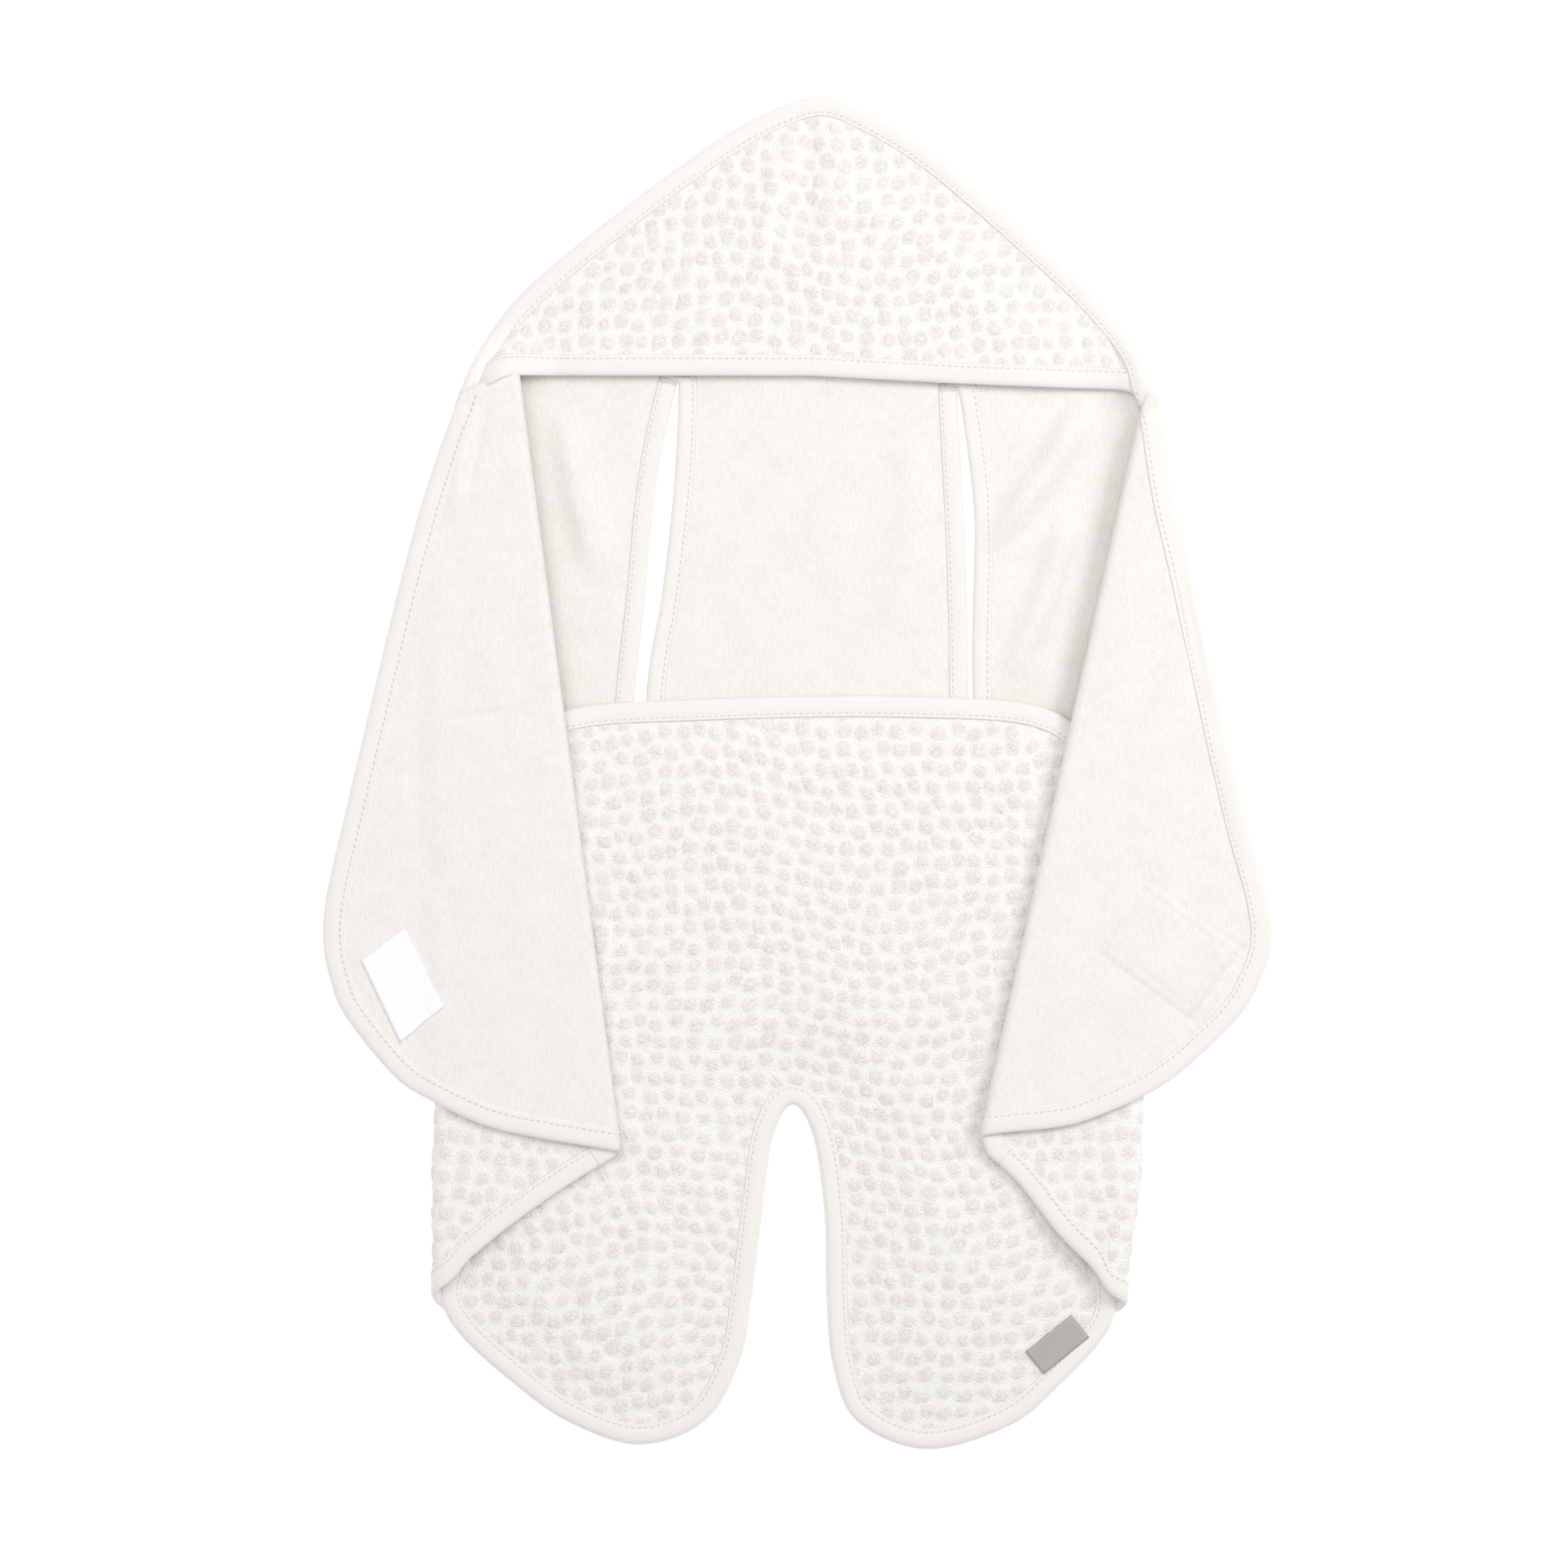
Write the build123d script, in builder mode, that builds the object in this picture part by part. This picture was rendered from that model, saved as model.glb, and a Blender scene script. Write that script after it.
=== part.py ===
"""Hooded baby towel with a leg pouch, laid flat with its two wings folded outwards.

The frame: the towel lies on Z = 0 with its hood towards +Y, and the origin is under the
middle of its outline. All sizes are millimetres.
"""
import os
from math import atan2, degrees, hypot

from build123d import *

# ---------------------------------------------------------------- overall size
towel_length = 730.0        # hood point to the feet of the legs
folded_width = 508.8        # across the two folded wings

# ---------------------------------------------------------------- cloth
terry = 2.0                 # pile cloth, the outer face of every panel
jersey = 0.8                # smooth knit, the inner face of every panel
binding_cloth = 0.6         # one thickness of the edge binding
binding_width = 11.5        # from the bound edge to the binding's own edge
slit_binding_width = 9.0
seam_inset = 2.2            # stitch line, in from the binding's own edge
thread_width = 0.8
thread_height = 0.25
rim = 3.0                   # where two panels are pinched together inside a binding

# ---------------------------------------------------------------- room between layers
pocket_gap = 6.0            # open height inside the hood and inside the leg pouch
layer_gap = 0.8             # between a folded layer and the one below it
fold_gap = 1.0              # each panel stops this far short of its fold line
hood_front_gap = 2.0        # between the hood's front panel and its edge binding

# ---------------------------------------------------------------- trims
hook_length, hook_width = 48.0, 30.0
loop_length, loop_width = 60.0, 46.0
patch_thickness = 0.6
label_length, label_width, label_thickness = 31.5, 16.0, 0.5
left_slit_gap = 9.0         # the slits that a car seat's belts pass through
right_slit_gap = 6.0
slit_length = 156.0
slit_clearance = 4.0        # between a slit's binding and the neck

# ---------------------------------------------------------------- heights of the layers
back_z = binding_cloth
back_top = back_z + terry + jersey
front_z = back_top + pocket_gap
front_top = front_z + jersey + terry
side_z = front_top + 2 * binding_cloth + layer_gap
side_top = side_z + jersey + terry
wing_z = side_top + 2 * binding_cloth + layer_gap
wing_top = wing_z + terry + jersey

# ---------------------------------------------------------------- hinge lines
pattern_length = 730.0      # the size that the outlines below are drawn at
pattern_width = 508.8
station = 10.0              # spacing of the points that an inset edge passes through


def at(x, y):
    """A point of the paper pattern, graded to the size that is made."""
    return (x * folded_width / pattern_width, y * towel_length / pattern_length)


hood_line = at(0, 198)[1]                   # the neck, where the hood turns up
panel_top = hood_line - 14.0                # the wings end this far below the neck
left_outer_fold = (at(-179.5, 198), at(-198, -280))
right_outer_fold = (at(191.5, 198), at(183, -280))
left_inner_fold = (at(-150, 211), at(-96, -201))
right_inner_fold = (at(188, 207), at(98, -199))
outer_fold_z = (side_top + binding_cloth) / 2
inner_fold_z = side_top + binding_cloth + layer_gap / 2
neck_z = back_top + binding_cloth + layer_gap / 4
hood_front_hinge = (0, at(0, 365)[1] - binding_width - hood_front_gap, front_z)


# ---------------------------------------------------------------- outlines
def filled(plate, inset=0.0):
    """The face of a plate, its curved edge moved inwards by inset.

    A plate is a bound edge, as the points of a smooth curve, and the corners that close it,
    which lie well past the fold lines and stay where they are."""
    curve_points, corners = plate
    ring = [at(*point) for point in curve_points + corners]
    area = sum(x0 * y1 - x1 * y0 for (x0, y0), (x1, y1) in zip(ring, ring[1:] + ring[:1]))
    inward = 1 if area > 0 else -1
    edge = Edge.make_spline([Vector(*at(*point)) for point in curve_points])
    if inset:
        steps = round(edge.length / station)
        stations = [count / steps for count in range(steps + 1)]
        moved = [edge.position_at(u) + edge.tangent_at(u).rotate(Axis.Z, 90) * inward * inset
                 for u in stations]
        edge = Edge.make_spline(moved)
    with BuildSketch() as face:
        with BuildLine():
            add(edge)
            Polyline(edge @ 1, *[at(*corner) for corner in corners], edge @ 0)
        make_face()
    return face.sketch


def beyond(fold, side, margin=0.0):
    """Everything to one side of a fold line: side is +1 for the right of it, or -1."""
    (top_x, top_y), (low_x, low_y) = fold
    turn = degrees(atan2(low_x - top_x, top_y - low_y))
    reach = 4 * towel_length
    with BuildSketch() as half:
        with Locations(Location((top_x, top_y), turn)):
            with Locations((side * (reach / 2 + margin), 0)):
                Rectangle(reach, reach)
    return half.sketch


def below(height, margin=0.0):
    """Everything nearer the feet than a line across the towel."""
    reach = 4 * towel_length
    with BuildSketch() as half:
        with Locations((0, height - margin - reach / 2)):
            Rectangle(reach, reach)
    return half.sketch


# Each plate's curve is a bound edge, and its corners lie well past the fold lines.
leg_plate = (
    [(-206, -262), (-193, -280.5), (-178.5, -306), (-155, -328), (-125, -349.5), (-86, -362.5),
     (-50, -350), (-31, -318), (-24.5, -284), (-19, -240), (-13, -197), (-2.4, -179),
     (8.5, -197), (14.5, -240), (15.5, -284), (19, -320), (32, -350), (70, -365),
     (116, -351.5), (144, -328), (166, -305), (178, -280.5), (190, -262)],
    [(320, 60), (320, 460), (-320, 460), (-320, 60)])
hood_plate = (
    [(-184.5, 196), (-172, 226), (-151.5, 255.5), (-114, 288.5), (-56.5, 332), (-20, 354.3),
     (13, 365), (43, 354.3), (78, 332), (128.5, 288.5), (163.5, 255.5), (186, 226),
     (194.5, 196)],
    [(200, 60), (-190, 60)])
hood_front_edge = (
    [(-210, 191), (-166, 205.5), (-143, 212.8), (-89, 213.2), (8, 213.2), (86, 209),
     (139, 206.8), (178, 204.8), (220, 196)],
    [(300, 460), (-300, 460)])
pouch_plate = (
    [(-206, -275), (-188, -205), (-172, -120), (-162, -40), (-159, 2), (-146, 23.5),
     (-116, 35.5), (-60, 39), (8, 41), (62, 40.8), (122, 37.4), (152, 24), (165, 2),
     (167, -40), (171, -120), (180, -205), (192, -275)],
    [(192, -460), (-206, -460)])
left_side_plate = (
    [(-60, -181), (-98, -206.5), (-124, -222.5), (-152, -242), (-177, -262), (-192, -280),
     (-203, -306)],
    [(-420, -306), (-420, 460), (-60, 460)])
right_side_plate = (
    [(66, -173), (102, -205), (120, -222.5), (139, -247), (157, -265), (172, -283),
     (188, -309)],
    [(420, -309), (420, 460), (66, 460)])
left_wing_plate = (
    [(-181, 206), (-198.5, 154), (-222, 66), (-242.5, -21), (-254.4, -87), (-242.5, -131),
     (-216, -163.5), (-168, -189.5), (-102, -202.5), (-70, -209)],
    [(-30, -209), (-30, 206)])
right_wing_plate = (
    [(193.5, 206), (200.5, 154), (219.5, 66), (239.5, -21), (254.4, -88), (244, -121),
     (209, -158), (157, -186), (104, -194.5), (70, -200)],
    [(30, -200), (30, 206)])


# ---------------------------------------------------------------- the kinds of piece
def cloth(label, plate, clips, bottom, thickness, cuts=()):
    """One layer of cloth, trimmed to run inside the binding and to stop at the folds."""
    with BuildPart() as piece:
        with BuildSketch(Plane.XY.offset(bottom)):
            add(filled(plate, binding_cloth))
            for clip in clips:
                add(clip, mode=Mode.INTERSECT)
            for cut in cuts:
                add(cut, mode=Mode.SUBTRACT)
        extrude(amount=thickness)
    finish(label, piece)


def binding(label, plate, clips, bottom, top, layers):
    """A folded strip round a bound edge. layers gives the panels that it holds, as
    (bottom, top) heights, and between two of them it is only a rim."""
    with BuildPart() as piece:
        with BuildSketch(Plane.XY.offset(bottom)):
            add(filled(plate))
            add(filled(plate, binding_width), mode=Mode.SUBTRACT)
            for clip in clips:
                add(clip, mode=Mode.INTERSECT)
        extrude(amount=top - bottom)
        for low, high in layers:
            with BuildSketch(Plane.XY.offset(low)):
                add(filled(plate, binding_cloth))
            extrude(amount=high - low, mode=Mode.SUBTRACT)
        for (_, low), (high, _) in zip(layers, layers[1:]):
            with BuildSketch(Plane.XY.offset(low)):
                add(filled(plate, rim))
            extrude(amount=high - low, mode=Mode.SUBTRACT)
    finish(label, piece)


def seam_thread(label, plate, clips, bottom):
    """The line of stitches that holds a binding, standing just proud of it."""
    with BuildPart() as piece:
        with BuildSketch(Plane.XY.offset(bottom)):
            add(filled(plate, binding_width - seam_inset - thread_width))
            add(filled(plate, binding_width - seam_inset), mode=Mode.SUBTRACT)
            for clip in clips:
                add(clip, mode=Mode.INTERSECT)
        extrude(amount=thread_height)
    finish(label, piece)


def patch(label, centre, length, width, turn, plate, clips, bottom, thickness):
    """A flat trim, sewn on inside the binding."""
    with BuildPart() as piece:
        with BuildSketch(Plane.XY.offset(bottom)):
            with Locations(Location(centre, turn)):
                Rectangle(length, width)
            add(filled(plate, binding_width), mode=Mode.INTERSECT)
            for clip in clips:
                add(clip, mode=Mode.INTERSECT)
        extrude(amount=thickness)
    finish(label, piece)


pieces = {}


def finish(label, piece):
    """Names a finished piece and writes it."""
    piece.part.label = label
    export_step(piece.part, f"parts/{label}.step")
    pieces[label] = piece.part


os.makedirs("parts", exist_ok=True)

# ---------------------------------------------------------------- belt slits in the back
slit_top = hood_line - slit_binding_width - slit_clearance
slits = {"left": (at(-67.7, 0)[0], at(17.5, 154), left_slit_gap),
         "right": (at(89.5, 0)[0], at(-4, 150), right_slit_gap)}


def slit_outline(side, growth=0.0):
    """A round-ended slit hung from its upper end, grown on every side by growth."""
    top_x, (across, along), gap = slits[side]
    half = slit_length / 2 / hypot(across, along)
    centre = (top_x - across * half, slit_top - along * half)
    with BuildSketch() as outline:
        with Locations(Location(centre, degrees(atan2(along, across)))):
            SlotCenterToCenter(slit_length - gap, gap + 2 * growth)
    return outline.sketch


def slit_binding(side):
    """The strip folded round a slit's raw edge, and its line of stitches."""
    hole = slit_outline(side)
    with BuildPart() as piece:
        with BuildSketch():
            add(slit_outline(side, slit_binding_width))
            add(hole, mode=Mode.SUBTRACT)
        extrude(amount=back_top + binding_cloth)
        with BuildSketch(Plane.XY.offset(back_z)):
            add(slit_outline(side, 2 * slit_binding_width))
            add(slit_outline(side, binding_cloth), mode=Mode.SUBTRACT)
        extrude(amount=terry + jersey, mode=Mode.SUBTRACT)
    finish(f"{side}_slit_binding", piece)
    with BuildPart() as thread:
        with BuildSketch(Plane.XY.offset(back_top + binding_cloth)):
            add(slit_outline(side, slit_binding_width - seam_inset))
            add(slit_outline(side, slit_binding_width - seam_inset - thread_width),
                mode=Mode.SUBTRACT)
        extrude(amount=thread_height)
    finish(f"{side}_slit_thread", thread)


# ---------------------------------------------------------------- back, legs and pouch
back_clips = [beyond(left_outer_fold, 1, fold_gap), beyond(right_outer_fold, -1, fold_gap),
              below(hood_line, fold_gap / 2)]
slit_cuts = [slit_outline("left", binding_cloth), slit_outline("right", binding_cloth)]
cloth("back_shell", leg_plate, back_clips, back_z, terry, slit_cuts)
cloth("back_lining", leg_plate, back_clips, back_z + terry, jersey, slit_cuts)
for side in slits:
    slit_binding(side)

front_clips = back_clips + [filled(pouch_plate, binding_cloth)]
cloth("leg_front_lining", leg_plate, front_clips, front_z, jersey)
cloth("leg_front_shell", leg_plate, front_clips, front_z + jersey, terry)

leg_top = front_top + binding_cloth
binding("leg_binding", leg_plate, back_clips, 0, leg_top,
        [(back_z, back_top), (front_z, front_top)])
seam_thread("leg_seam_thread", leg_plate, back_clips, leg_top)
pouch_clips = back_clips + [filled(leg_plate, binding_width)]
binding("pouch_binding", pouch_plate, pouch_clips, front_z - binding_cloth, leg_top,
        [(front_z, front_top)])
seam_thread("pouch_seam_thread", pouch_plate, pouch_clips, leg_top)
patch("side_label", at(139.5, -307.5), label_length, label_width, 38.8,
      leg_plate, back_clips, front_top, label_thickness)

# ---------------------------------------------------------------- hood
with BuildSketch() as hood_side:
    add(filled(hood_plate))
    add(below(hood_line, -fold_gap / 2), mode=Mode.SUBTRACT)
hood_clips = [hood_side.sketch]
cloth("hood_back_shell", hood_plate, hood_clips, back_z, terry)
cloth("hood_back_lining", hood_plate, hood_clips, back_z + terry, jersey)
binding("hood_edge_binding", hood_plate, hood_clips, 0, leg_top,
        [(back_z, back_top), (front_z, front_top)])
seam_thread("hood_edge_seam_thread", hood_plate, hood_clips, leg_top)

front_hood_clips = hood_clips + [filled(hood_plate, binding_width + hood_front_gap)]
cloth("hood_front_lining", hood_front_edge, front_hood_clips, front_z, jersey)
cloth("hood_front_shell", hood_front_edge, front_hood_clips, front_z + jersey, terry)
binding("hood_front_binding", hood_front_edge, front_hood_clips, front_z - binding_cloth,
        leg_top, [(front_z, front_top)])
seam_thread("hood_front_seam_thread", hood_front_edge, front_hood_clips, leg_top)

# ---------------------------------------------------------------- folded sides and wings
folded = {
    "left": (left_side_plate, left_wing_plate, left_outer_fold, left_inner_fold, 1),
    "right": (right_side_plate, right_wing_plate, right_outer_fold, right_inner_fold, -1),
}
wing_clips = {}
for side, (side_plate, wing_plate, outer_fold, inner_fold, inward) in folded.items():
    side_clips = [beyond(outer_fold, inward, fold_gap), beyond(inner_fold, -inward, fold_gap),
                  below(panel_top)]
    cloth(f"{side}_side_lining", side_plate, side_clips, side_z, jersey)
    cloth(f"{side}_side_shell", side_plate, side_clips, side_z + jersey, terry)
    binding(f"{side}_side_binding", side_plate, side_clips, side_z - binding_cloth,
            side_top + binding_cloth, [(side_z, side_top)])
    seam_thread(f"{side}_side_seam_thread", side_plate, side_clips, side_top + binding_cloth)

    wing_clips[side] = [beyond(inner_fold, -inward, fold_gap), below(panel_top)]
    cloth(f"{side}_wing_shell", wing_plate, wing_clips[side], wing_z, terry)
    cloth(f"{side}_wing_lining", wing_plate, wing_clips[side], wing_z + terry, jersey)
    binding(f"{side}_wing_binding", wing_plate, wing_clips[side], wing_z - binding_cloth,
            wing_top + binding_cloth, [(wing_z, wing_top)])
    seam_thread(f"{side}_wing_seam_thread", wing_plate, wing_clips[side],
                wing_top + binding_cloth)

patch("hook_patch", at(-211.7, -113.7), hook_length, hook_width, -64,
      left_wing_plate, wing_clips["left"], wing_top, patch_thickness)
patch("loop_patch", at(199.9, -95.7), loop_length, loop_width, -36.5,
      right_wing_plate, wing_clips["right"], wing_z - patch_thickness, patch_thickness)

for fold_name, (top_end, low_end) in [
        ("left outer", left_outer_fold), ("left inner", left_inner_fold),
        ("right outer", right_outer_fold), ("right inner", right_inner_fold)]:
    run = hypot(top_end[0] - low_end[0], top_end[1] - low_end[1])
    print(f"{fold_name} fold {top_end} to {low_end}, {run:.1f} long")
print(f"outer fold z {outer_fold_z:.2f}, inner fold z {inner_fold_z:.2f}, neck z {neck_z:.2f}")
print(f"hood front hinge {hood_front_hinge}, towel thickness {wing_top + binding_cloth:.2f}")
print(f"{len(pieces)} pieces")
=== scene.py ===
"""The looks of a hooded baby towel with a leg pouch, laid flat with its wings folded out.

Lengths inside the functions are millimetres on the towel's own frame, +Y towards the hood's
point, and every mesh is written in metres.
"""
import math

import bmesh
import bpy
import numpy as np
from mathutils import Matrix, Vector


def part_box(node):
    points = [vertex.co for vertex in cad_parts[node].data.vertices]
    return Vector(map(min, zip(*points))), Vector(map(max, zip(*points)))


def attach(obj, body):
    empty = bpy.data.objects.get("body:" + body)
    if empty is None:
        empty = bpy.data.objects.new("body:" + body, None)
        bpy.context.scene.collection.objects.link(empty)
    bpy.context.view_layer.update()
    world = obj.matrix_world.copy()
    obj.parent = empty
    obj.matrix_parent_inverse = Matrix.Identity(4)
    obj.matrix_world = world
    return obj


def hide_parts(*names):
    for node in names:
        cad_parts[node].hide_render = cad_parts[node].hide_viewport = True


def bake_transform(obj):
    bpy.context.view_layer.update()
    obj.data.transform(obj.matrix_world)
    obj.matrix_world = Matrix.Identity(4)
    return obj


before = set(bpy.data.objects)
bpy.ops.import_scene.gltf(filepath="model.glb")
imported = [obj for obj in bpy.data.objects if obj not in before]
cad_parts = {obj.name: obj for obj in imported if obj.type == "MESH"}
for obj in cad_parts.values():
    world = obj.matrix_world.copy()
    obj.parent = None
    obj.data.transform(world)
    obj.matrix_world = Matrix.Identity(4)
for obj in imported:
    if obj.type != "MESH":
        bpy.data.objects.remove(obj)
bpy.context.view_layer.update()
MM = 0.001


def node_top(node):
    """The highest point of a CAD node, in millimetres."""
    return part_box(node)[1].z / MM


def node_bottom(node):
    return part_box(node)[0].z / MM


# ------------------------------------------------------------------ sizes from the frame
back_mid = (node_bottom("back_shell") + node_top("back_lining")) / 2
side_mid = (node_bottom("left_side_lining") + node_top("left_side_shell")) / 2
wing_mid = (node_bottom("left_wing_shell") + node_top("left_wing_lining")) / 2
front_mid = (node_bottom("leg_front_lining") + node_top("leg_front_shell")) / 2
outer_roll = (side_mid - back_mid) / 2          # radius of the cloth round the outer folds
inner_roll = (wing_mid - side_mid) / 2          # and round the inner folds

half_cloth = 1.4                                # half the thickness of terry and jersey
jersey_at = 0.6                                 # where the jersey's hidden face lies
terry_at = 0.5                                  # and the terry's, on the other side
binding_width = 11.5
slit_binding_width = 10.0
stitch_inset = 2.2                              # stitches, out from the binding's inner edge
stitch_lift = 0.42                              # stitches, out from the hem's face
thin_hem = half_cloth + 0.15                    # half the thickness inside a binding
thick_hem = 2.75                                # and where two panels share the binding
neck = 198.0
wing_lap = 2.0                                  # how far a wing reaches along the side layer
in_legs, in_hood = (0, -100), (0, 250)          # points inside the cloth of each

# ------------------------------------------------------------------ paper pattern
left_outer = ((-179.5, 198), (-198, -280))
right_outer = ((191.5, 198), (183, -280))
left_inner = ((-150, 211), (-96, -201))
right_inner = ((188, 207), (98, -199))

leg_edge = [(-187, -258), (-192.5, -276), (-190.5, -290), (-179.5, -306), (-155, -328),
            (-125, -349.5), (-86, -362.5), (-50, -350), (-31, -318), (-24.5, -284),
            (-19, -240), (-13, -197), (-2.4, -179), (8.5, -197), (14.5, -240),
            (15.5, -284), (19, -320), (32, -350), (70, -365), (116, -351.5),
            (144, -328), (162.5, -308.5), (170.5, -295), (172.5, -280), (169.2, -260)]
hood_edge = [(-184.5, 196), (-172, 226), (-151.5, 255.5), (-114, 288.5), (-56.5, 332),
             (-20, 354.3), (13, 365), (43, 354.3), (78, 332), (128.5, 288.5),
             (163.5, 255.5), (186, 226), (194.5, 196)]
hood_front_edge = [(-176, 198), (-171, 202.5), (-163, 208.5), (-148, 212.8), (-89, 213.2),
                   (8, 213.2), (86, 209), (139, 206.8), (174, 205.2), (187, 199.5)]
pouch_edge = [(-187, -258), (-185, -240), (-178, -205), (-168, -120), (-160, -40), (-157, 2),
              (-146, 23.5), (-116, 35.5), (-60, 39), (8, 41), (62, 40.8), (122, 37.4),
              (152, 24), (163, 2), (164, -40), (166, -120), (168, -205), (168.2, -240),
              (168, -258)]
left_side_edge = [(-98, -206.5), (-124, -222.5), (-152, -242), (-175, -260.5), (-187, -272)]
right_side_edge = [(102, -205), (120, -222.5), (139, -247), (156, -264), (167, -276)]
left_wing_edge = [(-181, 204), (-198.5, 154), (-211, 110), (-222, 66), (-242.5, -21),
                  (-252.5, -65), (-254.4, -90), (-251, -110), (-242.5, -131),
                  (-216, -163.5), (-195, -177), (-168, -189.5), (-141, -196), (-99, -203)]
right_wing_edge = [(194.3, 201), (200.5, 154), (210, 110), (219.5, 66), (239.5, -21),
                   (251.5, -65), (254.4, -90), (249, -110), (237, -131), (209, -158),
                   (187, -173), (157, -186), (139, -190.5), (100, -195)]
left_slit = [(-65.3, 208), (-73.4, 171.4), (-78.2, 136.4), (-82.1, 92.6), (-85.2, 66.3),
             (-88, 39), (-88, 26), (-84, 21), (-80.5, 26), (-81.7, 39), (-78.6, 66.3),
             (-73.6, 92.6), (-68.3, 136.4), (-65.4, 171.4), (-64.2, 208)]
right_slit = [(86.2, 205), (87.9, 171), (89.8, 136), (91.4, 90), (91.9, 60), (92.2, 38),
              (93.5, 34), (94.6, 38), (94.2, 60), (94.6, 90), (95.3, 136), (91.9, 171),
              (86.9, 205)]


# ------------------------------------------------------------------ curves and distances
def travelled(line):
    """The distance along a line at each of its points."""
    return np.concatenate([[0], np.cumsum(np.linalg.norm(np.diff(line, axis=0), axis=1))])


def smooth(points, spacing, closed=False):
    """Evenly spaced points along a smooth curve through a few points."""
    p = np.array(points, float)
    if closed:
        p = np.vstack([p[-1], p, p[:2]])
    else:
        p = np.vstack([2 * p[0] - p[1], p, 2 * p[-1] - p[-2]])
    t = np.linspace(0, 1, 24, endpoint=False)[:, None]
    runs = []
    for a, b, c, d in zip(p, p[1:], p[2:], p[3:]):
        runs.append(0.5 * (2 * b + (c - a) * t + (2 * a - 5 * b + 4 * c - d) * t ** 2
                           + (3 * b - a - 3 * c + d) * t ** 3))
    line = np.vstack(runs + [p[-2][None]])
    gone = travelled(line)
    even = np.linspace(0, gone[-1], max(3, round(gone[-1] / spacing) + 1))
    return np.stack([np.interp(even, gone, line[:, k]) for k in (0, 1)], 1)


def inside(outline, u, v):
    """Whether each point lies inside a closed outline."""
    odd = np.zeros(u.shape, bool)
    for (x0, y0), (x1, y1) in zip(outline, np.roll(outline, -1, axis=0)):
        if y0 != y1:
            odd ^= ((y0 > v) != (y1 > v)) & (u < (x1 - x0) * (v - y0) / (y1 - y0) + x0)
    return odd


def nearest(line, u, v, closed=False):
    """Distance of each point to a line, and the place on the line that is nearest."""
    best = np.full(u.shape, 1e9)
    at_u, at_v = u.copy(), v.copy()
    ends = np.roll(line, -1, axis=0) if closed else line[1:]
    for (x0, y0), (x1, y1) in zip(line, ends):
        dx, dy = x1 - x0, y1 - y0
        t = np.clip(((u - x0) * dx + (v - y0) * dy) / max(dx * dx + dy * dy, 1e-9), 0, 1)
        px, py = x0 + t * dx, y0 + t * dy
        d = np.hypot(u - px, v - py)
        closer = d < best
        best = np.where(closer, d, best)
        at_u, at_v = np.where(closer, px, at_u), np.where(closer, py, at_v)
    return best, at_u, at_v


def ease(low, high, x):
    """0 at low, 1 at high, and smooth between them."""
    t = np.clip((np.asarray(x, float) - low) / (high - low), 0, 1)
    return t * t * (3 - 2 * t)


def ripple(u, v, size, seed):
    """Soft random height from -1 to 1, its humps about size across."""
    rng = np.random.default_rng(seed)
    table = rng.uniform(-1, 1, (64, 64))
    x, y = u / size + 17.3, v / size + 29.1
    i, j = np.floor(x).astype(int), np.floor(y).astype(int)
    fx, fy = x - i, y - j
    fx, fy = fx * fx * (3 - 2 * fx), fy * fy * (3 - 2 * fy)
    a, b = table[i % 64, j % 64], table[(i + 1) % 64, j % 64]
    c, d = table[i % 64, (j + 1) % 64], table[(i + 1) % 64, (j + 1) % 64]
    return (a * (1 - fx) + b * fx) * (1 - fy) + (c * (1 - fx) + d * fx) * fy


def crease(u, v, points, width, height):
    """A ridge along a line, or a furrow where height is negative, fading at its ends."""
    line = np.array(points, float)
    d, at_u, at_v = nearest(line, u, v)
    whole = travelled(line)[-1]
    from_end = np.minimum(np.hypot(at_u - line[0, 0], at_v - line[0, 1]),
                          np.hypot(at_u - line[-1, 0], at_v - line[-1, 1]))
    return height * np.exp(-(d / width) ** 2) * ease(0, 0.3 * whole, from_end)


def creases(u, v, *facts):
    """Several ridges or furrows together, each given by its points, width and height."""
    return sum(crease(u, v, *fact) for fact in facts)


# ------------------------------------------------------------------ how each panel lies
corner_left, corner_right = (-184.0, 202.0), (194.0, 202.0)


def corner_rise(u, v):
    """How far the cloth climbs at the hood's corners, where all the layers meet."""
    left = np.hypot(u - corner_left[0], v - corner_left[1])
    right = np.hypot(u - corner_right[0], v - corner_right[1])
    return 13 * (1 - ease(0, 48, np.minimum(left, right)))


def back_height(u, v):
    z = back_mid * np.ones_like(u)
    shown = ease(25, 60, v) * (1 - ease(196, 214, v))
    z += shown * (0.7 + 0.7 * ripple(u, v, 46, 3) + 0.35 * ripple(u, v, 19, 4))
    z += creases(u, v,
                 ([(160, 205), (137, 165), (100, 118)], 7.5, 6.2),
                 ([(152, 150), (134, 96), (112, 44)], 7, 5.0),
                 ([(60, 205), (62, 120), (44, 52)], 8, 2.0),
                 ([(-128, 205), (-118, 150), (-104, 96)], 8, 4.6),
                 ([(-40, 150), (-56, 110), (-62, 50)], 7, 0.9))
    z += 0.9 * shown * (1 - ease(2, 12, slit_distance(u, v)))
    return np.maximum(z, back_mid) + 0.5 * corner_rise(u, v)


def slit_distance(u, v):
    near = 1e9 * np.ones_like(u)
    for slit in (left_slit, right_slit):
        near = np.minimum(near, nearest(smooth(slit, 12, True), u, v, True)[0])
    return near


leg_line = smooth(leg_edge, 6)
hood_line = smooth(hood_edge, 6)
edge_mid = back_mid + half_cloth + 0.1          # between two panels that share a binding


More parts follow.
